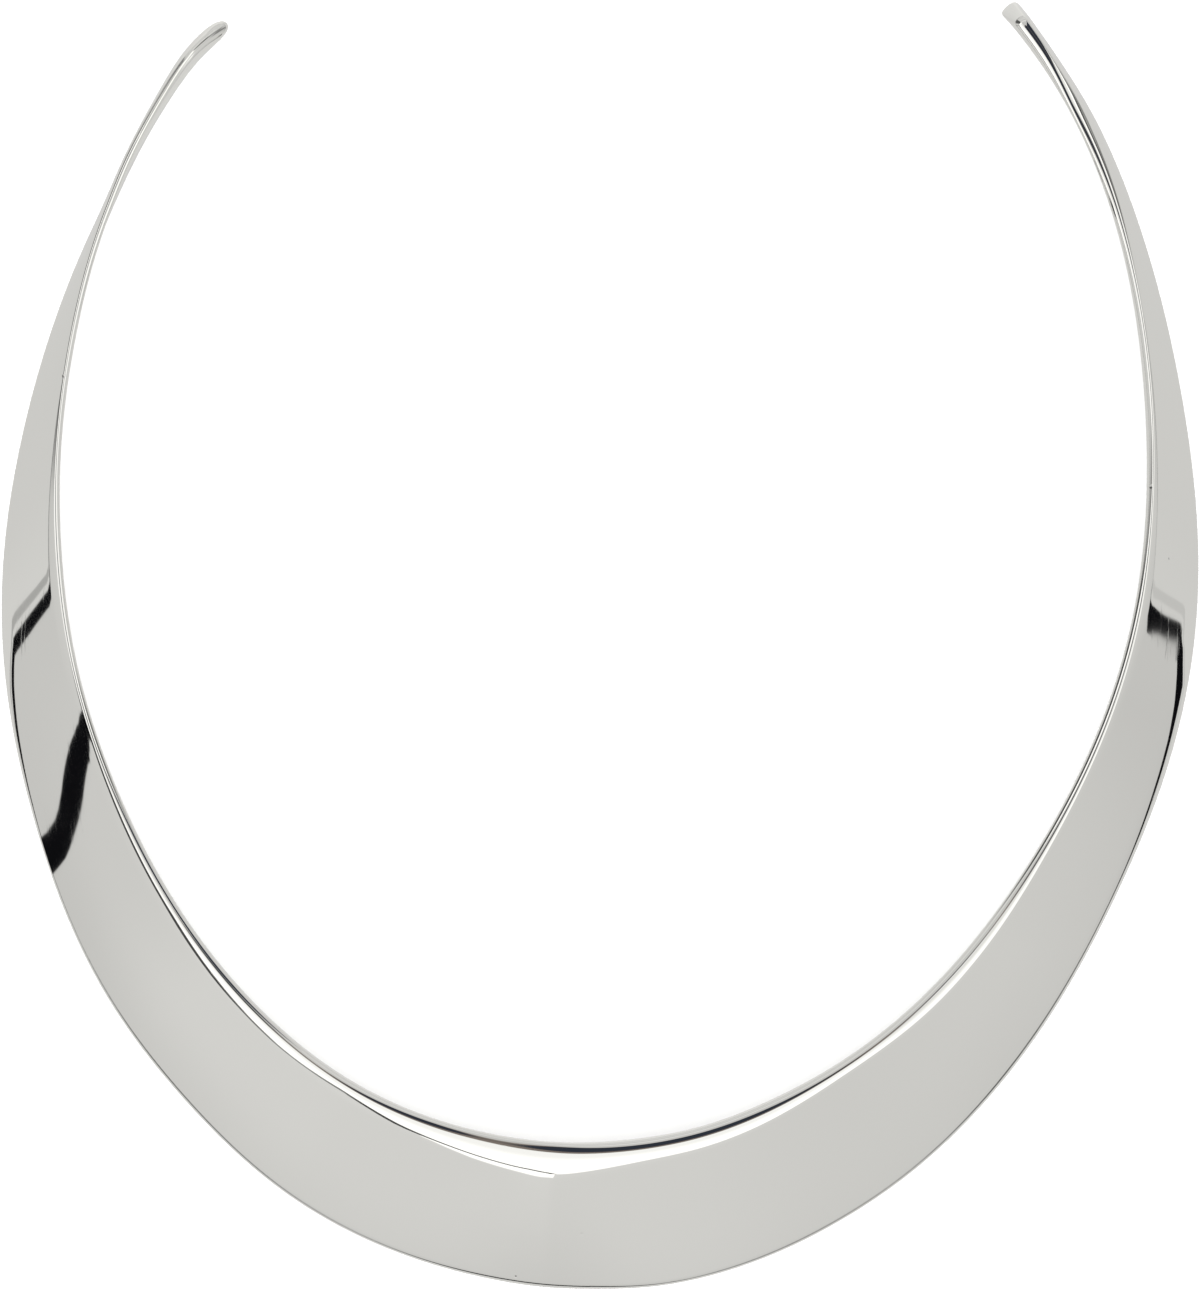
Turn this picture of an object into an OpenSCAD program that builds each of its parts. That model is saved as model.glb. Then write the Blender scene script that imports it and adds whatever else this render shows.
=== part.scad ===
// Open collar choker: one forged band of polished silver that slips on from the back of the neck.
// +X is the wearer's left, which is the right of a view from above, +Y runs from the broad front to
// the open tips, and +Z is up. The lower rim lies in the plane z = 0, and the origin is under the
// middle of the band's box.

/* [Fit] */
// Width of the neck opening, side to side
opening_w = 119; // [108:0.5:135]
// Width of the band where it is broadest, at the front, measured down its slope
front_w = 21.5; // [18:0.1:22]

/* [Edges] */
// How far the surface turns in the soft hem between the face and the outer rim
hem_turn = 5; // [3:0.5:7]
// How far the outer rim has turned where its tighter lower rounding begins
rim_turn = 60; // [50:5:70]

/* [Tips] */
// Length over which the top of the left arm slopes down to its end
left_tip_l = 5.9; // [2:0.1:7]
// Length over which the top of the right arm slopes down to its end
right_tip_l = 2.6; // [2:0.1:7]
// Bluntness of the left end seen from above: 2 is round, more is blunter
left_tip_blunt = 6; // [2:1:20]
// Bluntness of the right end seen from above
right_tip_blunt = 14; // [4:2:60]
// How gently the left end's slope begins: more is gentler
left_tip_ease = 0.2; // [0.1:0.05:0.8]
// How gently the right end's slope begins
right_tip_ease = 0.3; // [0.1:0.05:0.8]

/* [Smoothness] */
// Sections along the band, between its tips
spans = 170; // [60:10:170]

/* [Hidden] */

// The band is hand formed, so its two arms differ. Each row is one section, from the left tip round
// the front to the right tip, for an opening of table_opening_w and a front of table_front_w.
table_opening_w = 119;
table_front_w = 21.5;

// side: degrees round the neck from the front, negative on the left
// inner: from the neck's centre to the section's inner edge, in plan
// width: across the section, down its slope
// tilt: slope of the face from the horizontal, 90 where it stands upright
// edge: thickness at the edges
// bulge: half the turn of the face and of the back, which both swell a little
// crest: how far the crown goes on turning past level, toward the neck
// crown: radius of the rounded upper edge
// soft: how far the surface turns from the face's middle to where the crown begins
// ease: radius between the face and the crown
// rim: radius of the outer rim
// hem: radius between the face and the rim
SIDE = 0; INNER = 1; WIDTH = 2; TILT = 3; EDGE = 4; BULGE = 5;
CREST = 6; CROWN = 7; SOFT = 8; EASE = 9; RIM = 10; HEM = 11;
sections = [
    // side  inner  width  tilt  edge bulge crest crown soft ease  rim  hem
    [-144.9, 71.65,  4.20, 90.0, 0.55, 42.0, 10, 0.25, 10, 3.0, 0.25,  4.0],
    [-141.0, 71.15,  4.20, 90.0, 0.55, 38.0, 10, 0.25, 10, 3.0, 0.25,  4.0],
    [-137.0, 70.10,  4.30, 90.0, 0.60, 27.0, 10, 0.30, 12, 3.0, 0.35,  4.0],
    [-129.0, 67.75,  4.60, 87.0, 0.75, 13.0, 14, 0.30, 14, 3.0, 0.50,  5.0],
    [-122.0, 65.70,  5.10, 77.0, 0.85,  5.0, 18, 0.25, 14, 3.0, 0.50,  5.0],
    [-114.0, 63.50,  6.00, 65.0, 0.95,  1.6, 26, 0.25, 14, 3.5, 0.60,  6.0],
    [-102.0, 61.10,  8.00, 54.5, 1.00,  0.8, 30, 0.25, 14, 4.0, 0.80,  8.0],
    [ -92.0, 59.80,  9.70, 48.2, 1.10,  0.7, 26, 0.35, 14, 5.0, 0.90, 14.0],
    [ -80.0, 59.10, 11.50, 43.6, 1.10,  0.9, 20, 0.30, 13, 5.5, 1.00, 24.0],
    [ -65.0, 59.10, 13.50, 41.3, 1.20,  2.4, 14, 0.40, 13, 6.4, 0.90, 18.0],
    [ -47.0, 60.65, 16.45, 40.8, 1.40,  2.1,  8, 0.85, 13, 6.4, 0.80,  9.0],
    [ -36.0, 62.10, 17.60, 40.5, 1.50,  1.6,  8, 1.00, 13, 6.4, 0.75,  8.0],
    [ -25.0, 63.35, 19.30, 40.0, 1.60,  1.2,  8, 1.50, 12, 6.4, 0.75,  8.0],
    [ -14.0, 63.80, 20.50, 40.2, 1.80,  1.0,  8, 2.90, 12, 6.8, 0.75,  8.0],
    [  -9.0, 63.80, 20.90, 41.0, 2.15,  1.0,  8, 3.40, 20, 7.0, 0.75,  8.0],
    [  -5.0, 63.70, 21.20, 41.4, 2.35,  1.0,  8, 3.60, 26, 6.9, 0.75,  8.0],
    [  -2.0, 63.55, 21.30, 40.9, 2.30,  1.0,  8, 3.20, 22, 6.4, 0.75,  8.0],
    [   3.0, 63.20, 21.50, 39.8, 2.15,  1.0,  8, 2.60, 13, 6.0, 0.75,  8.0],
    [   9.0, 62.70, 21.20, 39.8, 2.00,  1.0,  8, 2.50, 10, 5.0, 0.75,  8.0],
    [  16.0, 61.75, 20.50, 39.9, 1.90,  1.0,  8, 2.10,  8, 4.0, 0.75,  8.0],
    [  25.0, 60.50, 19.30, 39.8, 1.55,  1.0,  8, 1.30,  8, 4.0, 0.75,  8.0],
    [  35.0, 59.10, 17.40, 40.6, 1.60,  1.0,  8, 1.70,  8, 4.0, 0.80,  9.0],
    [  55.0, 57.00, 13.90, 41.0, 1.30,  0.6, 12, 0.90,  8, 4.0, 0.90, 12.0],
    [  72.0, 57.20, 11.90, 42.4, 1.20,  0.4, 18, 0.50, 10, 5.0, 1.00, 24.0],
    [  84.0, 58.20, 10.30, 44.6, 1.25,  0.1, 22, 0.42, 12, 5.0, 1.00, 24.0],
    [  94.0, 59.40,  9.00, 49.2, 1.40,  0.6, 26, 0.25, 14, 4.0, 0.90, 12.0],
    [ 108.0, 62.20,  6.90, 56.5, 1.50,  0.8, 28, 0.25, 14, 3.5, 0.80,  8.0],
    [ 122.0, 66.70,  5.40, 66.0, 1.25,  2.0, 22, 0.45, 14, 3.0, 0.70,  6.0],
    [ 131.0, 70.00,  4.80, 73.0, 1.40,  5.0, 10, 1.00, 24, 1.5, 0.60,  5.0],
    [ 138.0, 72.50,  4.50, 78.0, 1.55,  9.0,  6, 1.40, 68, 0.4, 0.60,  4.0],
    [ 144.3, 74.60,  4.30, 83.0, 1.80, 14.0,  6, 1.40, 60, 0.5, 0.60,  4.0]
];

first = sections[0][SIDE];
last = sections[len(sections) - 1][SIDE];
fit = opening_w / table_opening_w;
breadth = front_w / table_front_w;

// Where the two tips begin, the share of a tip's height that slopes away, the level it closes to, and
// how blunt its nose is, seen from the side
left_start = first + left_tip_l / (fit * sections[0][INNER]) * 180 / PI;
right_start = last - right_tip_l / (fit * sections[len(sections) - 1][INNER]) * 180 / PI;
tip_slope = 0.8;
tip_level = 0.1;
nose_blunt = 4;

// Steps in each arc of a section and in each tip
crown_steps = 5;
inner_steps = 6;
back_steps = 3;
under_steps = 4;
rim_steps = 4;
soft_steps = 2;
face_steps = 4;
tip_steps = 10;

function unit(v) = v / norm(v);
function clamp(v, low, high) = min(max(v, low), high);

// Natural cubic spline through the rows: the second derivative of every column at every row
function gap(i) = sections[i + 1][SIDE] - sections[i][SIDE];
function rise(i) = (sections[i + 1] - sections[i]) / gap(i);
function spline_down(i = 1, done = [[0, 0 * sections[0]]]) =
    i > len(sections) - 2 ? done :
    let(
        pivot = 2 * (gap(i - 1) + gap(i)) - gap(i - 1) * done[i - 1][0],
        ratio = gap(i) / pivot,
        value = (6 * (rise(i) - rise(i - 1)) - gap(i - 1) * done[i - 1][1]) / pivot
    )
    spline_down(i + 1, concat(done, [[ratio, value]]));
function spline_up(down, i, found) =
    i < 0 ? found : spline_up(down, i - 1, concat([down[i][1] - down[i][0] * found[0]], found));
bends = spline_up(spline_down(), len(sections) - 2, [0 * sections[0]]);

// The row before a place on the band, and every column's value there
function row_before(side, i = 0) =
    i >= len(sections) - 2 || side < sections[i + 1][SIDE] ? i : row_before(side, i + 1);
function values(side) =
    let(
        i = row_before(side),
        q = (side - sections[i][SIDE]) / gap(i),
        p = 1 - q,
        sag = ((pow(p, 3) - p) * bends[i] + (pow(q, 3) - q) * bends[i + 1]) * pow(gap(i), 2) / 6
    )
    p * sections[i] + q * sections[i + 1] + sag;
// How fast the columns change there, per degree
function changes(side) =
    let(
        i = row_before(side),
        q = (side - sections[i][SIDE]) / gap(i),
        p = 1 - q
    )
    rise(i) + ((3 * q * q - 1) * bends[i + 1] - (3 * p * p - 1) * bends[i]) * gap(i) / 6;

// One end of a section, from the face's end through the soft arc and the edge arc to the back:
// [drop and run to the edge arc, run to the back arc, back arc's radius, whole run, reach]
function end_arcs(turn, radius, edge, bulge, ease, soft) =
    let(
        drop = ease * (cos(bulge) - cos(soft)),
        run = ease * (sin(soft) - sin(bulge)),
        deep = drop + radius * (cos(soft) - cos(turn)),
        far = run + radius * (sin(turn) - sin(soft)),
        tight = (edge - deep) / (cos(turn) + cos(bulge))
    )
    [drop, run, far, tight, far + tight * (sin(bulge) - sin(turn)), far + tight * (1 - sin(turn))];

// The section's closed outline as arcs: [centre up the slope, centre outward, radius, from, to, steps],
// with angles measured from the face's normal toward the upper edge
function section_arcs(v) =
    let(
        edge = v[EDGE],
        bulge = v[BULGE],
        crown = v[CROWN],
        rim = v[RIM],
        tilt = min(v[TILT], 90),
        turn = min(tilt + v[CREST], 90),
        soft = max(bulge, v[SOFT]),
        ease = soft > bulge ? v[EASE] : crown,
        low_soft = max(bulge, hem_turn),
        hem = low_soft > bulge ? v[HEM] : rim,
        top = end_arcs(turn, crown, edge, bulge, ease, soft),
        low = end_arcs(rim_turn, rim, edge, bulge, hem, low_soft),
        chord = v[WIDTH] * breadth - top[5] - low[5],
        face = chord / 2 / sin(bulge),
        back = (chord + top[4] + low[4]) / 2 / sin(bulge)
    )
    [
        [-ease * sin(bulge), edge - ease * cos(bulge), ease, bulge, soft, soft_steps],
        [top[1] - crown * sin(soft), edge - top[0] - crown * cos(soft), crown, soft, turn, crown_steps],
        [top[2] - top[3] * sin(turn), top[3], top[3], turn, 180 - bulge, inner_steps],
        [(top[4] - low[4] - chord) / 2, back * cos(bulge), back, 180 - bulge, 180 + bulge, back_steps],
        [-chord - low[2] + low[3] * sin(rim_turn), low[3], low[3], 180 + bulge, 360 - rim_turn, under_steps],
        [-chord - low[1] + rim * sin(low_soft), edge - low[0] - rim * cos(low_soft), rim,
            360 - rim_turn, 360 - low_soft, rim_steps],
        [-chord + hem * sin(bulge), edge - hem * cos(bulge), hem, 360 - low_soft, 360 - bulge, soft_steps],
        [-chord / 2, edge - face * cos(bulge), face, 360 - bulge, 360 + bulge, face_steps]
    ];

function arc_point(arc, angle) = [arc[0] + arc[2] * sin(angle), arc[1] + arc[2] * cos(angle)];
// From up the slope and outward to outward in plan and height
function stand(point, tilt) =
    [point[1] * sin(tilt) - point[0] * cos(tilt), point[0] * sin(tilt) + point[1] * cos(tilt)];
// How far the outline reaches in a direction, measured from straight up toward outward
function reach(arcs, tilt, direction) =
    max([for (arc = arcs, turn = [-360, 0, 360])
        stand(arc_point(arc, clamp(tilt - direction + turn, arc[3], arc[4])), tilt)
            * [sin(direction), cos(direction)]]);

// The section's outline with its inner edge at 0 and its lowest point on the ground
function outline(v) =
    let(
        arcs = section_arcs(v),
        tilt = min(v[TILT], 90),
        place = [reach(arcs, tilt, -90), reach(arcs, tilt, 180)]
    )
    [for (arc = arcs, i = [0 : arc[5] - 1])
        stand(arc_point(arc, arc[3] + (arc[4] - arc[3]) * i / arc[5]), tilt) + place];

// The section's place in plan and its outward and forward directions
function inner_edge(side, v) = fit * v[INNER] * [sin(side), -cos(side)];
function forward(side, v) =
    unit(changes(side)[INNER] * 180 / PI * [sin(side), -cos(side)] + v[INNER] * [cos(side), sin(side)]);
function outward(ahead) = [ahead[1], -ahead[0]];

// The middle, in the first two directions, of the box round some points
function middle(points) =
    [for (k = [0, 1]) let(c = [for (p = points) p[k]]) (max(c) + min(c)) / 2];

// One ring of the band. Along a tip, share runs from 0 to 1 as the ring narrows and closes to a point.
function ring(side, share = 0, blunt = 2, ease = 1) =
    let(
        v = values(side),
        points = outline(v),
        mid = [middle(points)[0], tip_level * max([for (p = points) p[1]])],
        drop = (norm([share, ease]) - ease) / (norm([1, ease]) - ease),
        across = sqrt(1 - pow(share, blunt)),
        high = tip_slope * (1 - drop) + (1 - tip_slope) * sqrt(1 - pow(share, nose_blunt)),
        out = outward(forward(side, v)),
        base = inner_edge(side, v)
    )
    [for (p = points)
        let(n = mid[0] + (p[0] - mid[0]) * across, z = mid[1] + (p[1] - mid[1]) * high)
        [base[0] + n * out[0], base[1] + n * out[1], z]];
function left_ring(share) =
    ring(left_start + (first - left_start) * share, share, left_tip_blunt, left_tip_ease);
function right_ring(share) =
    ring(right_start + (last - right_start) * share, share, right_tip_blunt, right_tip_ease);

module band() {
    shares = [for (k = [1 : tip_steps - 1]) sin(90 * k / tip_steps)];
    rings = concat(
        [for (k = [len(shares) - 1 : -1 : 0]) left_ring(shares[k])],
        [for (i = [0 : spans]) ring(left_start + (right_start - left_start) * i / spans)],
        [for (share = shares) right_ring(share)]
    );
    count = len(rings[0]);
    flat = [for (r = rings) each r];
    points = concat(flat, [left_ring(1)[0], right_ring(1)[0]]);
    mid = middle(points);
    walls = [for (r = [0 : len(rings) - 2], j = [0 : count - 1])
        let(a = r * count + j, b = r * count + (j + 1) % count)
        each [[a, b, b + count], [a, b + count, a + count]]];
    left_fan = [for (j = [0 : count - 1]) [(j + 1) % count, j, len(flat)]];
    right_base = (len(rings) - 1) * count;
    right_fan = [for (j = [0 : count - 1]) [right_base + j, right_base + (j + 1) % count, len(flat) + 1]];
    translate([-mid[0], -mid[1], 0])
        polyhedron(points, concat(walls, left_fan, right_fan), convexity = 8);
}

module collar() {
    color([0.82, 0.82, 0.8]) band();
}

collar();
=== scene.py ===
"""Looks of the open collar choker: one band of polished silver, lying on a pale floor and seen from above.

The band is rebuilt as a fine smooth surface from the same sections as the CAD solid, and takes its place.
Lengths in the table are millimetres; every Blender object is in metres, in the row frame.
"""
import math
from collections import namedtuple

import bmesh
import bpy
import numpy as np
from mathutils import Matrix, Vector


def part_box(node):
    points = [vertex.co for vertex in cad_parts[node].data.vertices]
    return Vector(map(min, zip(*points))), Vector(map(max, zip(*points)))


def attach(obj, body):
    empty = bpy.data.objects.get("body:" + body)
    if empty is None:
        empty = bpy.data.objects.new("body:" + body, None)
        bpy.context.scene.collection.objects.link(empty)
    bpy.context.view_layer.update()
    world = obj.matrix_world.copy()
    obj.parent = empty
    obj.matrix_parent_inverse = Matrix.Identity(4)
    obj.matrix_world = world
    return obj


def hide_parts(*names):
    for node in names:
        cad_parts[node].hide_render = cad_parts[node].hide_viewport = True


MM = 0.001

# Driving sizes, as in the CAD source. How far the surface has turned where the soft hem ends, and where
# the outer rim's tighter lower rounding begins
HEM_TURN = 5.0
RIM_TURN = 60.0
# The length of each tip's slope, how blunt its end is in plan, and how gently the slope begins
LEFT_TIP = {"length": 5.9, "blunt": 6.0, "ease": 0.2}
RIGHT_TIP = {"length": 2.6, "blunt": 14.0, "ease": 0.3}
# How much of a tip's height is slope and not rounded nose, how high up its end lies, and the nose's
# bluntness from the side
TIP_SLOPE = 0.8
TIP_LEVEL = 0.1
NOSE_BLUNT = 4.0

# One row per section, from the left tip round the front to the right tip. side: degrees round the neck
# from the front, negative on the left. inner: from the neck's centre to the inner edge, in plan. width:
# across the section, down its slope. tilt: slope of the face. edge: thickness at the edges. bulge: half the
# turn of the face and of the back. crest: how far the crown turns past level. crown: radius of the upper
# edge. soft: turn from the face's middle to the crown. ease, rim and hem: radii between the face and the
# crown, of the outer rim, and between the face and the rim
COLUMNS = ("side", "inner", "width", "tilt", "edge", "bulge", "crest", "crown", "soft", "ease", "rim", "hem")
SECTIONS = (
    (-144.9, 71.65, 4.20, 90.0, 0.55, 42.0, 10, 0.25, 10, 3.0, 0.25, 4.0),
    (-141.0, 71.15, 4.20, 90.0, 0.55, 38.0, 10, 0.25, 10, 3.0, 0.25, 4.0),
    (-137.0, 70.10, 4.30, 90.0, 0.60, 27.0, 10, 0.30, 12, 3.0, 0.35, 4.0),
    (-129.0, 67.75, 4.60, 87.0, 0.75, 13.0, 14, 0.30, 14, 3.0, 0.50, 5.0),
    (-122.0, 65.70, 5.10, 77.0, 0.85, 5.0, 18, 0.25, 14, 3.0, 0.50, 5.0),
    (-114.0, 63.50, 6.00, 65.0, 0.95, 1.6, 26, 0.25, 14, 3.5, 0.60, 6.0),
    (-102.0, 61.10, 8.00, 54.5, 1.00, 0.8, 30, 0.25, 14, 4.0, 0.80, 8.0),
    (-92.0, 59.80, 9.70, 48.2, 1.10, 0.7, 26, 0.35, 14, 5.0, 0.90, 14.0),
    (-80.0, 59.10, 11.50, 43.6, 1.10, 0.9, 20, 0.30, 13, 5.5, 1.00, 24.0),
    (-65.0, 59.10, 13.50, 41.3, 1.20, 2.4, 14, 0.40, 13, 6.4, 0.90, 18.0),
    (-47.0, 60.65, 16.45, 40.8, 1.40, 2.1, 8, 0.85, 13, 6.4, 0.80, 9.0),
    (-36.0, 62.10, 17.60, 40.5, 1.50, 1.6, 8, 1.00, 13, 6.4, 0.75, 8.0),
    (-25.0, 63.35, 19.30, 40.0, 1.60, 1.2, 8, 1.50, 12, 6.4, 0.75, 8.0),
    (-14.0, 63.80, 20.50, 40.2, 1.80, 1.0, 8, 2.90, 12, 6.8, 0.75, 8.0),
    (-9.0, 63.80, 20.90, 41.0, 2.15, 1.0, 8, 3.40, 20, 7.0, 0.75, 8.0),
    (-5.0, 63.70, 21.20, 41.4, 2.35, 1.0, 8, 3.60, 26, 6.9, 0.75, 8.0),
    (-2.0, 63.55, 21.30, 40.9, 2.30, 1.0, 8, 3.20, 22, 6.4, 0.75, 8.0),
    (3.0, 63.20, 21.50, 39.8, 2.15, 1.0, 8, 2.60, 13, 6.0, 0.75, 8.0),
    (9.0, 62.70, 21.20, 39.8, 2.00, 1.0, 8, 2.50, 10, 5.0, 0.75, 8.0),
    (16.0, 61.75, 20.50, 39.9, 1.90, 1.0, 8, 2.10, 8, 4.0, 0.75, 8.0),
    (25.0, 60.50, 19.30, 39.8, 1.55, 1.0, 8, 1.30, 8, 4.0, 0.75, 8.0),
    (35.0, 59.10, 17.40, 40.6, 1.60, 1.0, 8, 1.70, 8, 4.0, 0.80, 9.0),
    (55.0, 57.00, 13.90, 41.0, 1.30, 0.6, 12, 0.90, 8, 4.0, 0.90, 12.0),
    (72.0, 57.20, 11.90, 42.4, 1.20, 0.4, 18, 0.50, 10, 5.0, 1.00, 24.0),
    (84.0, 58.20, 10.30, 44.6, 1.25, 0.1, 22, 0.42, 12, 5.0, 1.00, 24.0),
    (94.0, 59.40, 9.00, 49.2, 1.40, 0.6, 26, 0.25, 14, 4.0, 0.90, 12.0),
    (108.0, 62.20, 6.90, 56.5, 1.50, 0.8, 28, 0.25, 14, 3.5, 0.80, 8.0),
    (122.0, 66.70, 5.40, 66.0, 1.25, 2.0, 22, 0.45, 14, 3.0, 0.70, 6.0),
    (131.0, 70.00, 4.80, 73.0, 1.40, 5.0, 10, 1.00, 24, 1.5, 0.60, 5.0),
    (138.0, 72.50, 4.50, 78.0, 1.55, 9.0, 6, 1.40, 68, 0.4, 0.60, 4.0),
    (144.3, 74.60, 4.30, 83.0, 1.80, 14.0, 6, 1.40, 60, 0.5, 0.60, 4.0),
)

# Fineness of the visible surface: rings between the tips and along each, and points along each arc
SPANS = 760
TIP_STEPS = 16
ARC_STEPS = {"ease": 10, "crown": 20, "inner": 16, "back": 8, "under": 8, "rim": 14, "hem": 8, "face": 14}

# The photograph's frame, the pixel at the neck's centre, and how high its camera stood
PHOTO_WIDTH = 1200
PHOTO_HEIGHT = 1290
PIXEL_MM = 0.11065
NECK_PIXEL = (605.5, 560.5)
CAMERA_HEIGHT_MM = 850.0
SENSOR_MM = 36.0

# The floor and the light over it, in metres and watts. The backdrop is what the camera sees past the floor
FLOOR = {"half_side": 3.0, "colour": (0.95, 0.95, 0.95, 1.0), "roughness": 1.0}
LIGHT = {"size": 1.6, "height": 1.6, "energy": 36.0}
BACKDROP = (1.0, 1.0, 1.0, 1.0)

# An arc of a section: its centre up the slope from the face's upper end and outward from the back, its
# radius, and the turns from straight outward between which it runs
Arc = namedtuple("Arc", ("name", "up", "out", "radius", "start", "end"))


def sin(degrees):
    return math.sin(math.radians(degrees))


def cos(degrees):
    return math.cos(math.radians(degrees))


def spline(x, y):
    """Second derivatives of the natural cubic spline through the rows y at x."""
    count = len(x)
    gap = np.diff(x)
    rise = np.diff(y, axis=0) / gap[:, None]
    system = np.eye(count)
    right = np.zeros_like(y)
    for i in range(1, count - 1):
        system[i, i - 1 : i + 2] = gap[i - 1], 2 * (gap[i - 1] + gap[i]), gap[i]
        right[i] = 6 * (rise[i] - rise[i - 1])
    return np.linalg.solve(system, right)


TABLE = np.array(SECTIONS)
SIDES = TABLE[:, 0]
BENDS = spline(SIDES, TABLE)


def row_at(side):
    """Every column's value at a place on the band, and how fast each changes per degree."""
    i = int(np.clip(np.searchsorted(SIDES, side, side="right") - 1, 0, len(SIDES) - 2))
    gap = SIDES[i + 1] - SIDES[i]
    after = (side - SIDES[i]) / gap
    before = 1 - after
    sag = ((before**3 - before) * BENDS[i] + (after**3 - after) * BENDS[i + 1]) * gap**2 / 6
    value = before * TABLE[i] + after * TABLE[i + 1] + sag
    lean = ((3 * after * after - 1) * BENDS[i + 1] - (3 * before * before - 1) * BENDS[i]) * gap / 6
    change = (TABLE[i + 1] - TABLE[i]) / gap + lean
    return dict(zip(COLUMNS, value)), dict(zip(COLUMNS, change))


def end_arcs(turn, radius, edge, bulge, ease, soft):
    """One end of a section, from the face through the soft arc and the edge arc to the back.

    Returns the soft arc's drop and run, where the edge arc ends, the radius of the tight arc after it, and
    how far the tight arc's foot and its outermost point lie beyond the face.
    """
    drop = ease * (cos(bulge) - cos(soft))
    run = ease * (sin(soft) - sin(bulge))
    deep = drop + radius * (cos(soft) - cos(turn))
    far = run + radius * (sin(turn) - sin(soft))
    tight = (edge - deep) / (cos(turn) + cos(bulge))
    whole = far + tight * (sin(bulge) - sin(turn))
    reach = far + tight * (1 - sin(turn))
    return drop, run, far, tight, whole, reach


def section_arcs(row):
    """The closed outline as eight arcs, from the face's upper end round the back and up the face."""
    edge, bulge, crown, rim = (row[k] for k in ("edge", "bulge", "crown", "rim"))
    tilt = min(row["tilt"], 90.0)
    turn = min(tilt + row["crest"], 90.0)
    soft = max(bulge, row["soft"])
    ease = row["ease"] if soft > bulge else crown
    low_soft = max(bulge, HEM_TURN)
    hem = row["hem"] if low_soft > bulge else rim
    drop, run, far, tight, whole, reach = end_arcs(turn, crown, edge, bulge, ease, soft)
    low_drop, low_run, low_far, low_tight, low_whole, low_reach = end_arcs(
        RIM_TURN, rim, edge, bulge, hem, low_soft
    )
    chord = row["width"] - reach - low_reach
    face = chord / 2 / sin(bulge)
    back = (chord + whole + low_whole) / 2 / sin(bulge)
    under = -chord - low_far + low_tight * sin(RIM_TURN)
    rim_up = -chord - low_run + rim * sin(low_soft)
    rim_out = edge - low_drop - rim * cos(low_soft)
    return (
        Arc("ease", -ease * sin(bulge), edge - ease * cos(bulge), ease, bulge, soft),
        Arc("crown", run - crown * sin(soft), edge - drop - crown * cos(soft), crown, soft, turn),
        Arc("inner", far - tight * sin(turn), tight, tight, turn, 180 - bulge),
        Arc("back", (whole - low_whole - chord) / 2, back * cos(bulge), back, 180 - bulge, 180 + bulge),
        Arc("under", under, low_tight, low_tight, 180 + bulge, 360 - RIM_TURN),
        Arc("rim", rim_up, rim_out, rim, 360 - RIM_TURN, 360 - low_soft),
        Arc("hem", -chord + hem * sin(bulge), edge - hem * cos(bulge), hem, 360 - low_soft, 360 - bulge),
        Arc("face", -chord / 2, edge - face * cos(bulge), face, 360 - bulge, 360 + bulge),
    )


def arc_points(arc, angles):
    """Points of one arc at the given angles, as up the slope and outward."""
    turns = np.radians(angles)
    return np.column_stack([arc.up + arc.radius * np.sin(turns), arc.out + arc.radius * np.cos(turns)])


def stand(points, tilt):
    """From up the slope and outward to outward in plan and height."""
    up, out = points[:, 0], points[:, 1]
    return np.column_stack([out * sin(tilt) - up * cos(tilt), up * sin(tilt) + out * cos(tilt)])


def reach(arcs, tilt, direction):
    """How far the outline reaches in a direction, measured from straight up toward outward."""
    toward = np.array([sin(direction), cos(direction)])
    best = -math.inf
    for arc in arcs:
        angles = [min(max(tilt - direction + turn, arc.start), arc.end) for turn in (-360, 0, 360)]
        best = max(best, (stand(arc_points(arc, angles), tilt) @ toward).max())
    return best


def outline(row):
    """The section's outline with its inner edge at 0 and its lowest point on the ground."""
    arcs = section_arcs(row)
    tilt = min(row["tilt"], 90.0)
    points = []
    for arc in arcs:
        angles = np.linspace(arc.start, arc.end, ARC_STEPS[arc.name] + 1)[:-1]
        points.append(arc_points(arc, angles))
    place = np.array([reach(arcs, tilt, -90), reach(arcs, tilt, 180)])
    return stand(np.concatenate(points), tilt) + place


def ring(side, tip=None, share=0.0):
    """One ring of the band. Along a tip, share runs from 0 to 1 as the ring narrows and closes."""
    row, change = row_at(side)
    points = outline(row)
    radial = np.array([sin(side), -cos(side)])
    along = np.array([cos(side), sin(side)])
    ahead = math.degrees(1) * change["inner"] * radial + row["inner"] * along
    ahead /= np.linalg.norm(ahead)
    out = np.array([ahead[1], -ahead[0]])
    if tip:
        ease = tip["ease"]
        drop = (math.hypot(share, ease) - ease) / (math.hypot(1.0, ease) - ease)
        across = math.sqrt(max(1 - share**tip["blunt"], 0.0))
        nose = math.sqrt(max(1 - share**NOSE_BLUNT, 0.0))
        high = TIP_SLOPE * (1 - drop) + (1 - TIP_SLOPE) * nose
        middle = np.array([(points[:, 0].max() + points[:, 0].min()) / 2, TIP_LEVEL * points[:, 1].max()])
        points = middle + (points - middle) * (across, high)
    base = row["inner"] * radial
    return np.column_stack([base + points[:, :1] * out, points[:, 1]])


def band_rings():
    """Every ring from the left end to the right end, closed to a point at both."""
    first, last = SIDES[0], SIDES[-1]
    left = first + math.degrees(LEFT_TIP["length"] / TABLE[0][1])
    right = last - math.degrees(RIGHT_TIP["length"] / TABLE[-1][1])
    shares = [sin(90.0 * k / TIP_STEPS) for k in range(1, TIP_STEPS + 1)]
    rings = [ring(left + (first - left) * share, LEFT_TIP, share) for share in reversed(shares)]
    rings += [ring(side) for side in np.linspace(left, right, SPANS + 1)]
    rings += [ring(right + (last - right) * share, RIGHT_TIP, share) for share in shares]
    return np.array(rings)


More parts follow.
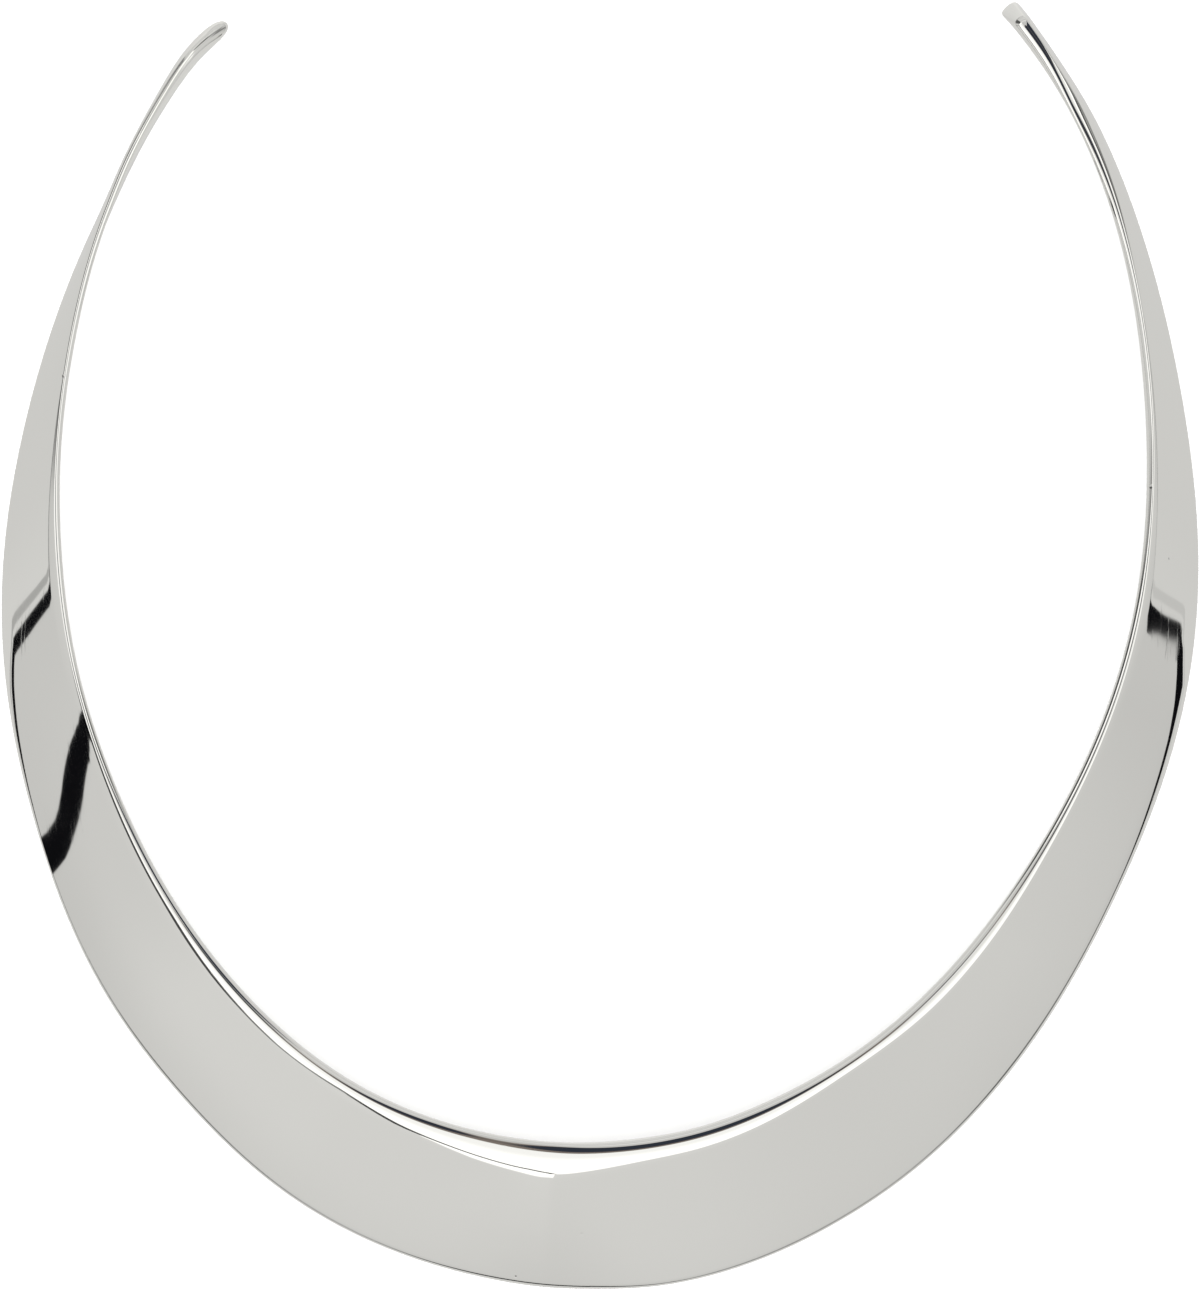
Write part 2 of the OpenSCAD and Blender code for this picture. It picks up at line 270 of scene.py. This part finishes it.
def make_mesh(name, vertices, faces):
    """A mesh object of the given name, linked to the scene."""
    mesh = bpy.data.meshes.new(name)
    mesh.from_pydata([tuple(v) for v in vertices], [], faces)
    mesh.update()
    piece = bpy.data.objects.new(name, mesh)
    bpy.context.scene.collection.objects.link(piece)
    return piece


def surface_lengths(rings):
    """Millimetres along the band to each ring, and round each ring to each of its points and back."""
    middles = rings.mean(1)
    along = np.concatenate([[0.0], np.cumsum(np.linalg.norm(np.diff(middles, axis=0), axis=1))])
    closed = np.concatenate([rings, rings[:, :1]], axis=1)
    around = np.cumsum(np.linalg.norm(np.diff(closed, axis=1), axis=2), axis=1)
    return along / MM, np.concatenate([np.zeros((len(rings), 1)), around], axis=1) / MM


def make_band(low, high):
    """The smooth band, set in the CAD solid's box, and where the neck's centre then is in plan."""
    rings = band_rings() * MM
    middle = (rings.reshape(-1, 3).max(0) + rings.reshape(-1, 3).min(0)) / 2
    centre = (np.array(low) + np.array(high)) / 2
    neck = (centre - middle)[:2]
    rings[:, :, :2] += neck
    count = rings.shape[1]
    left_end, right_end = rings[0, 0], rings[-1, 0]
    body = rings[1:-1]
    vertices = np.concatenate([body.reshape(-1, 3), [left_end, right_end]])
    total = len(body) * count
    faces = []
    layout = []
    along, around = surface_lengths(body)
    for r in range(len(body) - 1):
        for j in range(count):
            a, b = r * count + j, r * count + (j + 1) % count
            faces.append((a, b, b + count, a + count))
            layout += [(along[r], around[r, j]), (along[r], around[r, j + 1]),
                       (along[r + 1], around[r + 1, j + 1]), (along[r + 1], around[r + 1, j])]
    start = total - count
    for j in range(count):
        k = (j + 1) % count
        faces.append((k, j, total))
        faces.append((start + j, start + k, total + 1))
        layout += [(along[0], around[0, j])] * 3 + [(along[-1], around[-1, j])] * 3
    band = make_mesh("collar_band", vertices, faces)
    band.data.uv_layers.new(name="lengths").data.foreach_set("uv", np.array(layout).ravel())
    surface = bmesh.new()
    surface.from_mesh(band.data)
    bmesh.ops.recalc_face_normals(surface, faces=surface.faces)
    surface.to_mesh(band.data)
    surface.free()
    band.data.polygons.foreach_set("use_smooth", [True] * len(band.data.polygons))
    return band, neck


class Nodes:
    """Short names for building a node tree."""

    def __init__(self, tree):
        self.tree = tree
        tree.nodes.clear()

    def add(self, kind, **settings):
        node = self.tree.nodes.new(kind)
        for key, value in settings.items():
            setattr(node, key, value)
        return node

    def link(self, source, target):
        self.tree.links.new(source, target)

    def math(self, operation, *inputs):
        """One math node; an input is a socket or a number."""
        node = self.add("ShaderNodeMath", operation=operation)
        for socket, value in zip(node.inputs, inputs):
            self.feed(value, socket)
        return node.outputs[0]

    def feed(self, value, socket):
        """Set a socket to a number, or link another socket to it."""
        if isinstance(value, bpy.types.NodeSocket):
            self.link(value, socket)
        else:
            socket.default_value = value

    def step(self, value, edge, soft):
        """0 below the edge and 1 above it, over a soft range."""
        node = self.add("ShaderNodeMapRange", interpolation_type="SMOOTHSTEP")
        self.feed(value, node.inputs["Value"])
        if isinstance(edge, bpy.types.NodeSocket):
            self.feed(self.math("SUBTRACT", edge, soft / 2), node.inputs["From Min"])
            self.feed(self.math("ADD", edge, soft / 2), node.inputs["From Max"])
        else:
            self.feed(edge - soft / 2, node.inputs["From Min"])
            self.feed(edge + soft / 2, node.inputs["From Max"])
        return node.outputs["Result"]

    def ease(self, value, low, high):
        """0 below low and 1 above high, smooth between them."""
        return self.step(value, (low + high) / 2, high - low)

    def until(self, value, edge, soft):
        """1 below the edge and 0 above it, over a soft range."""
        return self.math("SUBTRACT", 1.0, self.step(value, edge, soft))

    def between(self, value, low, high, soft):
        """1 between two edges and 0 outside them."""
        return self.math("SUBTRACT", self.step(value, low, soft), self.step(value, high, soft))

    def stripe(self, away, half, soft):
        """1 within half of a line and 0 beyond it, by how far away from the line it is."""
        return self.step(self.math("SUBTRACT", half, self.math("ABSOLUTE", away)), 0.0, soft)

    def blend(self, share, under, over):
        """Number under with number over laid on it by a share."""
        node = self.add("ShaderNodeMix", data_type="FLOAT")
        self.feed(share, node.inputs["Factor"])
        numbers = [s for s in node.inputs if s.type == "VALUE"][-2:]
        for socket, value in zip(numbers, (under, over)):
            self.feed(value, socket)
        return next(s for s in node.outputs if s.type == "VALUE")

    def mix(self, share, under, over):
        """Colour under with colour over laid on it by a share."""
        node = self.add("ShaderNodeMix", data_type="RGBA")
        self.feed(share, node.inputs["Factor"])
        colour_inputs = [s for s in node.inputs if s.type == "RGBA"]
        for socket, value in zip(colour_inputs, (under, over)):
            self.feed(value, socket)
        return next(s for s in node.outputs if s.type == "RGBA")

    def tint(self, level, warm):
        """A near-neutral colour of a light level, a little warmer or cooler."""
        node = self.add("ShaderNodeCombineColor")
        self.link(self.math("MULTIPLY", level, 1 + warm), node.inputs[0])
        self.link(level, node.inputs[1])
        self.link(self.math("MULTIPLY", level, 1 - 2 * warm), node.inputs[2])
        return node.outputs[0]

    def noise(self, place, stretch, detail):
        """Soft noise between 0 and 1, with so many features to a unit along each axis."""
        scaled = self.add("ShaderNodeVectorMath", operation="MULTIPLY")
        self.link(place, scaled.inputs[0])
        scaled.inputs[1].default_value = stretch
        node = self.add("ShaderNodeTexNoise")
        self.link(scaled.outputs["Vector"], node.inputs["Vector"])
        node.inputs["Scale"].default_value = 1.0
        node.inputs["Detail"].default_value = detail
        return node.outputs[0]

    def flat(self, place):
        """A place in plan, without its height."""
        node = self.add("ShaderNodeVectorMath", operation="MULTIPLY")
        self.link(place, node.inputs[0])
        node.inputs[1].default_value = (1.0, 1.0, 0.0)
        return node.outputs["Vector"]

    def levels(self, value, rows):
        """Up to three numbers, read between rows of (place, their values). Each number must vary."""
        low, high = rows[0][0], rows[-1][0]
        columns = list(zip(*(row[1] for row in rows)))
        least = [min(column) for column in columns]
        span = [max(column) - min(column) for column in columns]
        place = self.add("ShaderNodeMapRange")
        self.feed(value, place.inputs["Value"])
        self.feed(low, place.inputs["From Min"])
        self.feed(high, place.inputs["From Max"])
        ramp = self.add("ShaderNodeValToRGB")
        self.link(place.outputs["Result"], ramp.inputs["Fac"])
        elements = ramp.color_ramp.elements
        while len(elements) < len(rows):
            elements.new(1.0)
        for element, (at, values) in zip(elements, rows):
            element.position = (at - low) / (high - low)
            for k, number in enumerate(values):
                element.color[k] = (number - least[k]) / span[k]
        split = self.add("ShaderNodeSeparateColor")
        self.link(ramp.outputs["Color"], split.inputs[0])
        return [self.math("MULTIPLY_ADD", split.outputs[k], span[k], least[k]) for k in range(len(columns))]


# The studio that the polished metal mirrors, in degrees: side is a direction round the collar from the
# front, negative on the left, and down is measured from straight overhead. ceiling, high, middle, low and
# ground are linear light levels: of the ceiling, of the wall just under it, at mid height and at its foot,
# and of the ground. The ceiling ends at edge. Under it a gap as high as height has the darkness gap, and
# under that a bright panel may reach down as far as panel.
STUDIO_COLUMNS = ("side", "ceiling", "high", "middle", "low", "ground", "gap", "edge", "height", "panel")
STUDIO = (
    (-180.0, 0.76, 0.72, 0.66, 0.62, 0.80, 0.30, 50.0, 12.0, 0.0),
    (-135.0, 0.72, 0.62, 0.60, 0.60, 0.69, 0.10, 50.0, 15.0, 0.0),
    (-131.0, 1.25, 0.08, 0.08, 0.12, 0.69, 0.95, 48.0, 17.0, 0.0),
    (-103.0, 1.20, 0.10, 0.10, 0.15, 0.63, 0.95, 52.0, 13.0, 0.0),
    (-96.0, 1.05, 0.62, 0.58, 0.56, 0.635, 0.50, 60.0, 5.0, 0.0),
    (-90.0, 1.05, 0.63, 0.61, 0.59, 0.665, 0.60, 60.0, 5.0, 0.0),
    (-80.0, 1.16, 0.63, 0.61, 0.59, 0.67, 0.95, 60.0, 5.0, 0.0),
    (-67.0, 1.16, 0.66, 0.63, 0.58, 0.66, 0.95, 59.0, 5.5, 0.0),
    (-54.0, 1.16, 0.70, 0.68, 0.59, 0.66, 0.95, 64.5, 5.0, 0.0),
    (-47.5, 1.16, 0.70, 0.68, 0.59, 0.66, 0.80, 67.0, 3.0, 0.0),
    (-43.5, 1.16, 0.70, 0.68, 0.59, 0.66, 0.80, 63.0, 3.0, 0.0),
    (-38.5, 1.16, 0.70, 0.68, 0.58, 0.66, 0.85, 58.5, 4.0, 0.0),
    (-33.0, 1.16, 0.70, 0.67, 0.58, 0.66, 0.95, 61.5, 4.0, 0.0),
    (-27.5, 1.16, 0.70, 0.67, 0.58, 0.66, 0.95, 66.3, 4.2, 0.0),
    (-23.5, 1.16, 0.70, 0.67, 0.58, 0.66, 0.90, 66.3, 2.2, 2.5),
    (-21.5, 1.16, 0.70, 0.67, 0.58, 0.66, 0.95, 65.3, 1.9, 7.5),
    (-16.0, 1.16, 0.71, 0.68, 0.58, 0.66, 0.95, 61.7, 1.9, 9.0),
    (-13.5, 1.16, 0.71, 0.69, 0.58, 0.66, 0.95, 60.7, 1.9, 10.5),
    (-10.5, 1.16, 0.71, 0.69, 0.58, 0.66, 0.95, 61.6, 1.9, 10.5),
    (-6.5, 1.16, 0.71, 0.69, 0.58, 0.66, 0.95, 63.4, 1.9, 8.0),
    (-4.0, 1.16, 0.69, 0.67, 0.58, 0.66, 0.00, 65.2, 0.5, 8.5),
    (16.0, 1.16, 0.69, 0.66, 0.58, 0.66, 0.00, 65.2, 0.5, 0.0),
    (38.0, 1.16, 0.67, 0.63, 0.57, 0.66, 0.00, 65.2, 0.5, 0.0),
    (60.0, 1.16, 0.66, 0.64, 0.57, 0.68, 0.40, 60.2, 5.0, 0.0),
    (76.0, 1.10, 0.62, 0.58, 0.56, 0.66, 0.00, 64.0, 1.0, 0.0),
    (92.0, 1.00, 0.66, 0.62, 0.60, 0.63, 0.10, 62.0, 3.0, 0.0),
    (108.0, 1.10, 0.60, 0.50, 0.46, 0.64, 0.50, 56.0, 9.0, 0.0),
    (112.0, 1.16, 0.20, 0.20, 0.25, 0.64, 0.95, 52.0, 13.0, 0.0),
    (118.0, 1.16, 0.20, 0.20, 0.25, 0.65, 0.95, 50.0, 15.0, 0.0),
    (123.0, 1.10, 0.62, 0.60, 0.58, 0.66, 0.95, 50.0, 15.0, 0.0),
    (134.0, 0.72, 0.62, 0.60, 0.60, 0.68, 0.10, 50.0, 15.0, 0.0),
    (180.0, 0.76, 0.72, 0.66, 0.62, 0.80, 0.30, 50.0, 12.0, 0.0),
)
# The dark line at the wall's foot: how far down it lies, and half its height
FOOT_COLUMNS = ("side", "foot", "half")
LEFT_FOOT = (
    (-156.0, 94.5, 0.08),
    (-146.0, 94.5, 0.45),
    (-92.0, 93.8, 0.50),
    (-88.3, 93.9, 0.85),
    (-87.5, 94.1, 0.75),
    (-86.5, 94.5, 0.95),
    (-85.6, 95.2, 1.10),
    (-84.3, 96.2, 1.15),
    (-83.0, 97.0, 1.10),
    (-80.0, 97.5, 1.00),
    (-70.0, 97.8, 1.00),
    (-50.0, 94.5, 1.10),
)
RIGHT_FOOT = (
    (50.0, 94.0, 1.10),
    (66.0, 95.5, 0.75),
    (71.0, 95.6, 0.95),
    (75.0, 96.2, 1.10),
    (78.0, 96.2, 1.75),
    (79.8, 95.9, 2.65),
    (81.4, 94.5, 2.25),
    (82.7, 94.2, 1.40),
    (83.0, 93.8, 0.85),
    (83.4, 93.5, 0.45),
    (84.4, 93.7, 0.40),
    (85.2, 93.9, 0.15),
    (100.0, 94.0, 0.45),
    (146.0, 94.0, 0.45),
    (156.0, 94.0, 0.08),
)
# A tall dark flag on the left, seen edge on, from high up to the ground: its side and half its width
FLAG_COLUMNS = ("down", "side", "half")
FLAG = (
    (66.0, -78.50, 0.85),
    (70.0, -78.05, 0.85),
    (75.0, -77.40, 1.00),
    (80.0, -76.85, 1.00),
    (83.5, -76.40, 1.10),
    (85.0, -75.80, 1.60),
    (86.0, -75.25, 1.65),
    (87.0, -74.50, 1.50),
    (88.0, -73.70, 1.30),
    (89.0, -73.05, 1.20),
    (90.0, -72.60, 1.20),
    (92.0, -72.10, 1.20),
    (100.0, -72.00, 1.25),
)
FLAG_TOP = {"from": 50.0, "to": 60.0}
FLAG_END = 105.0

# How far down the wall's top, middle and foot are, and the deep ground under the collar
WALL_TOP = 65.2
WALL_MIDDLE = 84.0
WALL_FOOT = 93.0
GROUND_DEEP = {"from": 156.0, "to": 172.0, "level": 0.60}
# A second, paler line on the ground: how far under the first, how high, and how dark on the left and right
GHOST = {"start": 0.7, "height": 0.9, "left": 0.4, "right": 0.15}
# The share of its light that the ceiling keeps round the camera, at the front and behind, how far down
# that reaches, and the sides between which the front's share changes to the other
CEILING_MIDDLE = {"from": 24.0, "to": 44.0, "front": 0.84, "back": 0.76}
CEILING_SIDES = {"from": 60.0, "to": 90.0}
# The bright panel on the left of the front: its sides, its light level and how soft its edges are
PANEL = {"from": -25.0, "to": -5.2, "level": 1.2, "soft": 3.0, "side_soft": 0.5}
# The camera overhead with its paler body round it, and the dark boom that runs from it to the right and
# backward as far down as end, widening on the way
CAMERA_PATCH = {"right": 1.5, "front": -1.3, "radius": 9.2, "soft": 1.5}
CAMERA_BODY = {"right": 1.5, "front": 0.9, "radius": 12.6, "soft": 2.0}
BOOM = {"from": 129.0, "to": 152.0, "end": 50.0, "soft": 1.5}
CAMERA_COLOUR = (0.028, 0.033, 0.046, 1.0)
BODY_COLOUR = (0.20, 0.17, 0.15, 1.0)
# The colour of the dark lines, how soft their edges are, and how warm the studio's light is
DARK = (0.004, 0.004, 0.005, 1.0)
EDGE = 0.15
WARM = 0.006

# The polish: its own colour, and how rough it is between scratches, in cloudy areas and along hairlines
SILVER = (0.935, 0.933, 0.902, 1.0)
ROUGHNESS = {"least": 0.018, "cloud": 0.02, "hair": 0.05}
# Clouds are laid out by metres, hairlines and waves by millimetres along the band and round its section.
# from and to are the noise's values between which each sets in. Heights and depths are in millimetres
CLOUDS = {"stretch": (160.0, 160.0, 160.0), "detail": 2.0, "from": 0.35, "to": 0.75}
HAIRLINES = {"stretch": (0.07, 3.5, 0.0), "detail": 3.0, "from": 0.60, "to": 0.68, "depth": 0.0003}
WAVES = {"stretch": (0.09, 0.16, 0.0), "detail": 1.0, "height": 0.006}
# Tiny dents: how far to the right of and behind the box's middle, radius and depth, in millimetres
DENTS = (
    (-58.9, 29.6, 0.25, 0.020),
    (60.5, 17.4, 0.25, 0.020),
    (62.5, 9.5, 0.20, 0.015),
    (-2.0, -64.6, 0.25, 0.010),
    (-9.3, -69.7, 0.20, 0.010),
)


def rows_of(columns, table, names):
    """A table's rows as (place, values of the named columns). Its first column is the place."""
    picked = [columns.index(name) for name in names]
    return [(row[0], [row[k] for k in picked]) for row in table]


def studio_levels(nodes, side):
    """The studio's columns read at a side, by name, with the line at the wall's foot and its ghost."""
    levels = {}
    for names in (("ceiling", "high", "middle"), ("low", "ground", "gap"), ("edge", "height", "panel")):
        levels.update(zip(names, nodes.levels(side, rows_of(STUDIO_COLUMNS, STUDIO, names))))
    levels["wall_top"] = nodes.math("ADD", levels["edge"], levels["height"])
    names = ("foot", "half")
    left = nodes.levels(side, rows_of(FOOT_COLUMNS, LEFT_FOOT, names))
    right = nodes.levels(side, rows_of(FOOT_COLUMNS, RIGHT_FOOT, names))
    on_right = nodes.math("GREATER_THAN", side, 0.0)
    for name, on_left_value, on_right_value in zip(names, left, right):
        levels[name] = nodes.blend(on_right, on_left_value, on_right_value)
    levels["ghost"] = nodes.blend(on_right, GHOST["left"], GHOST["right"])
    return levels


def studio_light(nodes, side, down, levels):
    """The studio's colour from the ceiling over the panel and the wall to the ground."""
    level = nodes.blend(nodes.ease(down, WALL_TOP, WALL_MIDDLE), levels["high"], levels["middle"])
    level = nodes.blend(nodes.ease(down, WALL_MIDDLE, WALL_FOOT), level, levels["low"])
    panel_end = nodes.math("ADD", levels["wall_top"], levels["panel"])
    panel = nodes.math(
        "MULTIPLY",
        nodes.between(side, PANEL["from"], PANEL["to"], PANEL["side_soft"]),
        nodes.until(down, panel_end, PANEL["soft"]),
    )
    level = nodes.blend(panel, level, PANEL["level"])
    aside = nodes.ease(nodes.math("ABSOLUTE", side), CEILING_SIDES["from"], CEILING_SIDES["to"])
    dimmed = nodes.blend(aside, CEILING_MIDDLE["front"], CEILING_MIDDLE["back"])
    outward = nodes.ease(down, CEILING_MIDDLE["from"], CEILING_MIDDLE["to"])
    ceiling = nodes.math("MULTIPLY", levels["ceiling"], nodes.blend(outward, dimmed, 1.0))
    level = nodes.blend(nodes.step(down, levels["wall_top"], EDGE), ceiling, level)
    deep = nodes.ease(down, GROUND_DEEP["from"], GROUND_DEEP["to"])
    ground = nodes.blend(deep, levels["ground"], GROUND_DEEP["level"])
    level = nodes.blend(nodes.step(down, levels["foot"], EDGE), level, ground)
    return nodes.tint(level, WARM)


def dark_lines(nodes, side, down, levels):
    """How dark the gap under the ceiling, the wall's foot with its ghost, and the flag make a direction."""
    under_ceiling = nodes.between(down, levels["edge"], levels["wall_top"], EDGE)
    gap = nodes.math("MULTIPLY", levels["gap"], under_ceiling)
    below = nodes.math("SUBTRACT", down, levels["foot"])
    line = nodes.stripe(below, levels["half"], EDGE)
    under_line = nodes.math("SUBTRACT", below, levels["half"])
    ghost_end = GHOST["start"] + GHOST["height"]
    ghost = nodes.math(
        "MULTIPLY", nodes.between(under_line, GHOST["start"], ghost_end, EDGE), levels["ghost"]
    )
    middle, half = nodes.levels(down, rows_of(FLAG_COLUMNS, FLAG, ("side", "half")))
    flag = nodes.stripe(nodes.math("SUBTRACT", side, middle), half, EDGE)
    flag_height = nodes.math(
        "SUBTRACT", nodes.ease(down, FLAG_TOP["from"], FLAG_TOP["to"]), nodes.step(down, FLAG_END, EDGE)
    )
    return gap, ghost, line, nodes.math("MULTIPLY", flag, flag_height)


def camera_shares(nodes, direction, side, down):
    """How much of the boom, the camera's body and the camera a direction sees, with their colours."""
    x, y, z = direction
    boom = nodes.math(
        "MULTIPLY",
        nodes.between(side, BOOM["from"], BOOM["to"], BOOM["soft"]),
        nodes.until(down, BOOM["end"], BOOM["soft"]),
    )
    shares = [(boom, CAMERA_COLOUR)]
    for patch, shade in ((CAMERA_BODY, BODY_COLOUR), (CAMERA_PATCH, CAMERA_COLOUR)):
        across = nodes.math("SUBTRACT", x, sin(patch["right"]))
        back = nodes.math("ADD", y, sin(patch["front"]))
        squares = [nodes.math("POWER", length, 2.0) for length in (across, back)]
        away = nodes.math("SQRT", nodes.math("ADD", *squares))
        shares.append((nodes.until(away, sin(patch["radius"]), sin(patch["soft"])), shade))
    above = nodes.math("GREATER_THAN", z, 0.0)
    return [(nodes.math("MULTIPLY", share, above), shade) for share, shade in shares]


def make_world():
    """A plain soft studio: a bright ceiling round the camera, pale walls and a pale ground.

    The metal mirrors it. The camera itself sees the plain backdrop.
    """
    world = bpy.data.worlds.new("studio")
    bpy.context.scene.world = world
    world.use_nodes = True
    nodes = Nodes(world.node_tree)
    place = nodes.add("ShaderNodeTexCoord")
    split = nodes.add("ShaderNodeSeparateXYZ")
    nodes.link(place.outputs["Generated"], split.inputs["Vector"])
    x, y, z = split.outputs
    down = nodes.math("DEGREES", nodes.math("ARCCOSINE", z))
    side = nodes.math("DEGREES", nodes.math("ARCTAN2", x, nodes.math("MULTIPLY", y, -1.0)))

    levels = studio_levels(nodes, side)
    colour = studio_light(nodes, side, down, levels)
    for share in dark_lines(nodes, side, down, levels):
        colour = nodes.mix(share, colour, DARK)
    for share, shade in camera_shares(nodes, (x, y, z), side, down):
        colour = nodes.mix(share, colour, shade)

    studio = nodes.add("ShaderNodeBackground")
    nodes.link(colour, studio.inputs["Color"])
    plain = nodes.add("ShaderNodeBackground")
    plain.inputs["Color"].default_value = BACKDROP
    ray = nodes.add("ShaderNodeLightPath")
    choose = nodes.add("ShaderNodeMixShader")
    nodes.link(ray.outputs["Is Camera Ray"], choose.inputs["Fac"])
    nodes.link(studio.outputs[0], choose.inputs[1])
    nodes.link(plain.outputs[0], choose.inputs[2])
    out = nodes.add("ShaderNodeOutputWorld")
    nodes.link(choose.outputs[0], out.inputs["Surface"])


def silver_material():
    """Mirror-polished silver: fine hairlines along the band, slight unevenness and a few tiny dents."""
    material = bpy.data.materials.new("polished_silver")
    material.use_nodes = True
    nodes = Nodes(material.node_tree)
    place = nodes.add("ShaderNodeTexCoord")

    # Hairlines, long along the band and fine across it, thicker in some areas than in others
    lines = nodes.noise(place.outputs["UV"], HAIRLINES["stretch"], HAIRLINES["detail"])
    hairs = nodes.ease(lines, HAIRLINES["from"], HAIRLINES["to"])
    clouds = nodes.noise(place.outputs["Object"], CLOUDS["stretch"], CLOUDS["detail"])
    worn = nodes.math("MULTIPLY", hairs, nodes.ease(clouds, CLOUDS["from"], CLOUDS["to"]))
    rough = nodes.math("MULTIPLY_ADD", clouds, ROUGHNESS["cloud"], ROUGHNESS["least"])
    rough = nodes.math("MULTIPLY_ADD", worn, ROUGHNESS["hair"], rough)

    # The hand-polished surface isn't quite flat
    waves = nodes.noise(place.outputs["UV"], WAVES["stretch"], WAVES["detail"])
    height = nodes.math("MULTIPLY", waves, WAVES["height"])
    height = nodes.math("MULTIPLY_ADD", worn, -HAIRLINES["depth"], height)

    # Tiny dents, each a shallow bowl
    for across, back, radius, depth in DENTS:
        away = nodes.add("ShaderNodeVectorMath", operation="DISTANCE")
        nodes.link(nodes.flat(place.outputs["Object"]), away.inputs[0])
        away.inputs[1].default_value = (across * MM, back * MM, 0.0)
        bowl = nodes.math("SUBTRACT", 1.0, nodes.ease(away.outputs["Value"], 0.0, radius * MM))
        height = nodes.math("MULTIPLY_ADD", bowl, -depth, height)
    bump = nodes.add("ShaderNodeBump")
    bump.inputs["Distance"].default_value = MM
    nodes.link(height, bump.inputs["Height"])

    shader = nodes.add("ShaderNodeBsdfPrincipled")
    shader.inputs["Base Color"].default_value = SILVER
    shader.inputs["Metallic"].default_value = 1.0
    nodes.link(rough, shader.inputs["Roughness"])
    nodes.link(bump.outputs["Normal"], shader.inputs["Normal"])
    out = nodes.add("ShaderNodeOutputMaterial")
    nodes.link(shader.outputs[0], out.inputs["Surface"])
    return material


def floor_material():
    """Plain matt white, with no shine of its own."""
    material = bpy.data.materials.new("pale_floor")
    material.use_nodes = True
    nodes = Nodes(material.node_tree)
    shader = nodes.add("ShaderNodeBsdfPrincipled")
    shader.inputs["Base Color"].default_value = FLOOR["colour"]
    shader.inputs["Roughness"].default_value = FLOOR["roughness"]
    shader.inputs["Specular IOR Level"].default_value = 0.0
    out = nodes.add("ShaderNodeOutputMaterial")
    nodes.link(shader.outputs[0], out.inputs["Surface"])
    return material


def make_floor():
    """The pale surface that the collar lies on. The metal sees the studio's own ground instead."""
    half = FLOOR["half_side"]
    corners = [(-half, -half, 0.0), (half, -half, 0.0), (half, half, 0.0), (-half, half, 0.0)]
    floor = make_mesh("floor", corners, [(0, 1, 2, 3)])
    floor.data.materials.append(floor_material())
    floor.visible_glossy = False


def make_light():
    """A soft overhead light for the floor, which the metal doesn't see."""
    light = bpy.data.lights.new("overhead", "AREA")
    light.shape = "DISK"
    light.size = LIGHT["size"]
    light.energy = LIGHT["energy"]
    lamp = bpy.data.objects.new("overhead", light)
    lamp.location = (0.0, 0.0, LIGHT["height"])
    lamp.visible_glossy = False
    lamp.visible_camera = False
    bpy.context.scene.collection.objects.link(lamp)


def make_camera(neck):
    """Straight overhead, over the place at the middle of the photograph, found from the neck's centre."""
    right = (PHOTO_WIDTH / 2 - NECK_PIXEL[0]) * PIXEL_MM * MM
    forward = (PHOTO_HEIGHT / 2 - NECK_PIXEL[1]) * PIXEL_MM * MM
    data = bpy.data.cameras.new("photo_camera")
    data.sensor_fit = "HORIZONTAL"
    data.sensor_width = SENSOR_MM
    data.lens = SENSOR_MM * CAMERA_HEIGHT_MM / (PHOTO_WIDTH * PIXEL_MM)
    camera = bpy.data.objects.new("photo_camera", data)
    camera.location = (neck[0] + right, neck[1] - forward, CAMERA_HEIGHT_MM * MM)
    bpy.context.scene.collection.objects.link(camera)
    bpy.context.scene.camera = camera


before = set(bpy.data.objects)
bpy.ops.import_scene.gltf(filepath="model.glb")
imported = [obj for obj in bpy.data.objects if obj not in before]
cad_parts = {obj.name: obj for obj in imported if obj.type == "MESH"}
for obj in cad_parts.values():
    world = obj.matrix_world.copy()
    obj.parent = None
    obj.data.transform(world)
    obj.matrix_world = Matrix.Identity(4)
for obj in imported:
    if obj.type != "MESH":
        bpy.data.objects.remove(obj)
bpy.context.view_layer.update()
low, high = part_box("collar")

band, neck = make_band(low, high)
band.data.materials.append(silver_material())
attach(band, "root")
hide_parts("collar")

make_camera(neck)
make_world()
make_floor()
make_light()
bpy.context.scene.view_settings.view_transform = "Standard"
